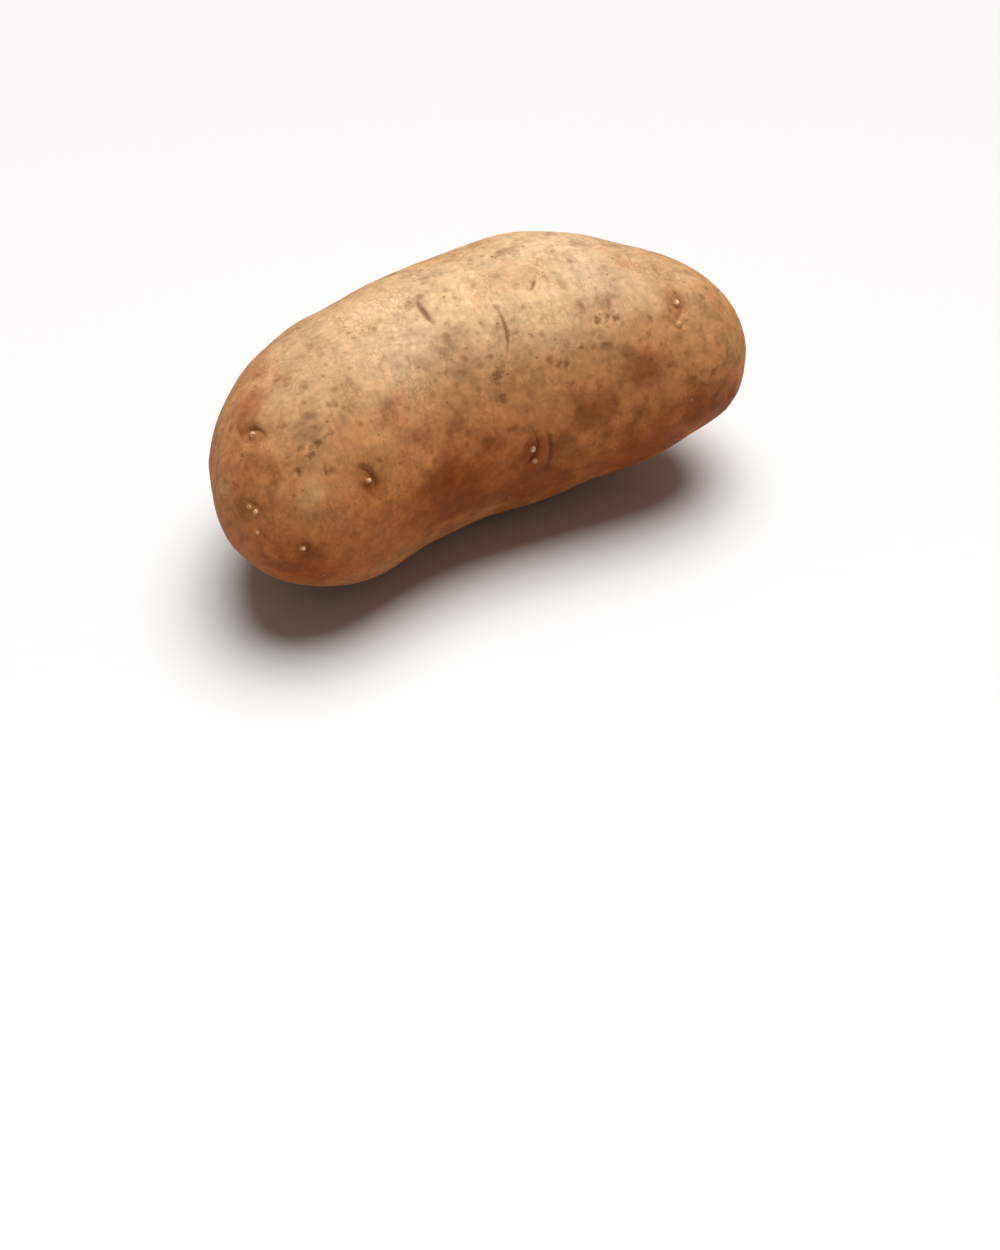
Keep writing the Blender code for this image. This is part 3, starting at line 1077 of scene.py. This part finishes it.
    def relief(self, material: bpy.types.Material) -> Wiring:
        """Build the Geometry Nodes that roughen the skin by noise of several sizes.

        Args:
            material: the skin's material.

        Returns:
            The wiring of the tree.
        """
        wires = fresh_growth("skin relief", self.relief_inputs())
        given = wires.node("NodeGroupInput").outputs
        place = wires.node("GeometryNodeInputPosition").outputs[0]
        height = 0.0
        for ripple in self.ripples:
            scale = wires.math("DIVIDE", 1.0, given[f"{ripple.name} spacing"])
            waves = {"Vector": place, "Scale": scale, "Detail": 2.0}
            noise = wires.node("ShaderNodeTexNoise", waves).outputs[0]
            wave = wires.math("MULTIPLY", wires.math("SUBTRACT", noise, 0.5), 2.0)
            height = wires.math("ADD", height, wires.math("MULTIPLY", wave, given[f"{ripple.name} depth"]))
        height = wires.math("MULTIPLY", height, wires.held("free"))
        normal = wires.node("GeometryNodeInputNormal").outputs[0]
        push = {0: normal, "Scale": height}
        offset = wires.node("ShaderNodeVectorMath", push, operation="SCALE").outputs[0]
        moved = wires.node("GeometryNodeSetPosition", {"Geometry": given["Geometry"], "Offset": offset})
        wires.finish(moved.outputs[0], material)
        return wires

    def build(self) -> bpy.types.Object:
        """Build the skin, finish it and let it stand for the frame's solid.

        Returns:
            The skin's object.
        """
        form = self.smooth_form()
        even = self.even_mesh(form)
        faces = [tuple(face.vertices) for face in form.polygons]
        surface = BVHTree.FromPolygons([vert.co for vert in form.vertices], faces)
        self.lay_creases(surface)
        for reach in (0.0, *self.refined_reaches):
            if reach:
                self.refine(even, reach)
            for vert in even.verts:
                vert.co = surface.find_nearest(vert.co)[0]
        self.calm(even)
        even.normal_update()
        self.find_seats(even)
        self.mark(even, surface)
        raw = put("skin before its relief", plain_mesh("skin before its relief", even))
        skin = grown(raw, "skin", self.relief(self.finish.make()), self.relief_inputs())
        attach(skin, BODY)
        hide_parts(NODE)
        return skin


@dataclass
class Pores:
    """The corky pores of the skin: small flat lens-shaped rises, scattered by a seeded draw."""

    seed: int = 7
    spacing: float = 2.6
    per_square_metre: float = 30000.0
    width: tuple = (0.25, 0.85)
    slimness: tuple = (0.5, 0.95)
    flatness: float = 0.2
    sides: int = 8
    rings: int = 5
    finish: CorkFinish = field(default_factory=CorkFinish)

    def inputs(self) -> dict:
        """List the named inputs of the scatter.

        Returns:
            Their values, lengths in metres, by name.
        """
        return {
            "Seed": self.seed,
            "Density": self.per_square_metre,
            "Spacing": self.spacing * MM,
            "Least width": self.width[0] * MM,
            "Most width": self.width[1] * MM,
            "Flatness": self.flatness,
        }

    def scatter(self, material: bpy.types.Material) -> Wiring:
        """Build the Geometry Nodes that scatter pores over the skin, but not in the hollows.

        Args:
            material: the pores' material.

        Returns:
            The wiring of the tree.
        """
        wires = fresh_growth("pores", self.inputs())
        given = wires.node("NodeGroupInput").outputs
        place = wires.node("GeometryNodeInputPosition").outputs[0]
        patchy = wires.step(wires.noise(place, spacing=12, detail=2), low=0.4, high=0.65)
        outside = wires.math("MULTIPLY", wires.held("free"), patchy)
        spread = {
            "Mesh": given["Geometry"],
            "Distance Min": given["Spacing"],
            "Density Max": given["Density"],
            "Density Factor": wires.math("SUBTRACT", outside, wires.held("hollow"), clamp=True),
            "Seed": given["Seed"],
        }
        kind = "GeometryNodeDistributePointsOnFaces"
        points = wires.node(kind, spread, distribute_method="POISSON").outputs
        sphere = {"Segments": self.sides, "Rings": self.rings, "Radius": 0.5}
        ball = wires.node("GeometryNodeMeshUVSphere", sphere).outputs[0]
        long = wires.draw(given["Least width"], given["Most width"], self.seed + 1)
        wide = wires.math("MULTIPLY", long, wires.draw(*self.slimness, self.seed + 2))
        high = wires.math("MULTIPLY", long, given["Flatness"])
        scale = wires.node("ShaderNodeCombineXYZ", {"X": long, "Y": wide, "Z": high}).outputs[0]
        turn = {"Axis": (0, 0, 1), "Angle": wires.draw(0.0, math.tau, self.seed + 3)}
        spin = wires.node("FunctionNodeAxisAngleToRotation", turn).outputs[0]
        twist = {"Rotation": points["Rotation"], "Rotate By": spin}
        rotation = wires.node("FunctionNodeRotateRotation", twist, rotation_space="LOCAL").outputs[0]
        placed = {"Points": points[0], "Instance": ball, "Rotation": rotation, "Scale": scale}
        wires.finish(wires.node("GeometryNodeInstanceOnPoints", placed).outputs[0], material)
        return wires

    def build(self, skin: bpy.types.Object) -> bpy.types.Object:
        """Scatter the pores over the finished skin.

        Args:
            skin: the finished skin.

        Returns:
            The pores as one piece.
        """
        raw = put("skin under its pores", skin.data.copy())
        pores = grown(raw, "pores", self.scatter(self.finish.make()), self.inputs())
        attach(pores, BODY)
        return pores


@dataclass
class Buds:
    """The pale buds in the eyes, each a small pointed knob wrapped in overlapping scales.

    The scale turn is how far the scales wind up a bud, and the next turn is how far each bud is turned from
    the one before, both as shares of a scale.
    """

    rings: int = 12
    sides: int = 24
    scales: int = 3
    scale_rise: float = 0.3
    scale_turn: float = 1.2
    next_turn: float = 0.37
    fullness: float = 0.6
    lean: float = 0.25
    dull: float = 0.65
    finish: BudFinish = field(default_factory=BudFinish)

    def add_bud(self, mesh: bmesh.types.BMesh, rise: object, seat: Seat, order: int) -> None:
        """Add one bud to the mesh.

        Args:
            mesh: the mesh of all buds.
            rise: the layer that notes how high up its bud a point is.
            seat: the eye that holds the bud.
            order: the eye's number, which turns its bud.
        """
        wide, tall, sunk = seat.eye.tip.value
        glow = 1.0 if seat.eye.tip is Tip.FULL else self.dull
        up = (seat.normal + self.lean * seat.forward).normalized()
        foot = seat.centre - seat.normal * sunk * MM
        rings = []
        for i in range(self.rings):
            f = i / self.rings
            ring = []
            for j in range(self.sides):
                angle = math.tau * j / self.sides
                lap = (angle * self.scales / math.tau + self.scale_turn * f + self.next_turn * order) % 1.0
                slope = math.cos(0.5 * math.pi * f) ** self.fullness
                radius = wide / 2 * slope * (1 + self.scale_rise * (lap - 0.5))
                out = seat.forward * math.cos(angle) + seat.side * (math.sin(angle) * seat.eye.stretch)
                vert = mesh.verts.new(foot + (up * tall * math.sin(0.5 * math.pi * f) + out * radius) * MM)
                vert[rise] = f * glow
                ring.append(vert)
            rings.append(ring)
        top = mesh.verts.new(foot + up * tall * MM)
        top[rise] = glow
        for low, high in zip(rings, rings[1:]):
            for j in range(self.sides):
                mesh.faces.new((low[j - 1], low[j], high[j], high[j - 1]))
        for j in range(self.sides):
            mesh.faces.new((rings[-1][j - 1], rings[-1][j], top))
        mesh.faces.new(rings[0])

    def build(self, seats: dict[str, Seat]) -> bpy.types.Object:
        """Build every bud that shows as one piece.

        Args:
            seats: the eyes' seats by name.

        Returns:
            The buds' object.
        """
        shape = bmesh.new()
        rise = shape.verts.layers.float.new("rise")
        for order, seat in enumerate(seats.values()):
            if seat.eye.tip is not Tip.NONE:
                self.add_bud(shape, rise, seat, order)
        bmesh.ops.recalc_face_normals(shape, faces=shape.faces)
        buds = put("buds", plain_mesh("buds", shape))
        buds.data.shade_smooth()
        buds.data.materials.append(self.finish.make())
        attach(buds, BODY)
        return buds


@dataclass(frozen=True)
class Softbox:
    """One wide soft light: where it hangs, how wide it looks in degrees, its strength and its colour."""

    towards: tuple = (0.14, 0.13, 0.86)
    spread: float = 44.0
    strength: float = 3.7
    colour: tuple = (1.0, 0.985, 0.96)


@dataclass(frozen=True)
class Room:
    """The even light of the room."""

    colour: tuple = (1.0, 0.98, 0.95, 1.0)
    strength: float = 0.12


@dataclass
class Studio:
    """Plain pale floor, soft light from above and a camera where the photograph was taken from."""

    view: Viewpoint
    floor_side: float = 40.0
    nearest: float = 0.01
    softbox: Softbox = field(default_factory=Softbox)
    room: Room = field(default_factory=Room)
    finish: FloorFinish = field(default_factory=FloorFinish)

    def floor(self) -> None:
        """Lay the floor under the potato."""
        shape = bmesh.new()
        bmesh.ops.create_grid(shape, x_segments=1, y_segments=1, size=self.floor_side / 2)
        floor = put("floor", plain_mesh("floor", shape))
        floor.data.materials.append(self.finish.make())

    def light(self) -> None:
        """Hang the softbox, which reaches the whole floor evenly, and set the room's own light."""
        lamp = put("softbox", bpy.data.lights.new("softbox", "SUN"))
        lamp.data.angle = math.radians(self.softbox.spread)
        lamp.data.energy = self.softbox.strength
        lamp.data.color = self.softbox.colour
        lamp.location = Vector(self.softbox.towards).normalized()
        lamp.rotation_euler = (-lamp.location).to_track_quat("-Z", "Y").to_euler()
        world = bpy.data.worlds.new("room")
        world.use_nodes = True
        background = world.node_tree.nodes["Background"]
        background.inputs["Color"].default_value = self.room.colour
        background.inputs["Strength"].default_value = self.room.strength
        bpy.context.scene.world = world

    def camera(self) -> None:
        """Set the camera up as the photograph was taken."""
        camera = put("camera", bpy.data.cameras.new("camera"))
        camera.data.lens = self.view.lens
        camera.data.sensor_width = self.view.film
        camera.data.clip_start = self.nearest
        camera.location = self.view.stand()
        camera.rotation_euler = (-self.view.back()).to_track_quat("-Z", "Y").to_euler()
        bpy.context.scene.camera = camera

    def build(self) -> None:
        """Set the whole studio up."""
        self.floor()
        self.light()
        self.camera()
        bpy.context.scene.view_settings.view_transform = "Standard"


def main() -> None:
    """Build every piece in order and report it."""
    logging.basicConfig(level=logging.INFO, format="%(name)s: %(message)s")
    view = Viewpoint()
    skin_maker = Skin(view)
    skin = skin_maker.build()
    for piece in (skin, Pores().build(skin), Buds().build(skin_maker.seats)):
        piece.data.calc_loop_triangles()
        LOG.info("%s has %d triangles", piece.name, len(piece.data.loop_triangles))
    Studio(view).build()


if __name__ == "__main__":
    main()
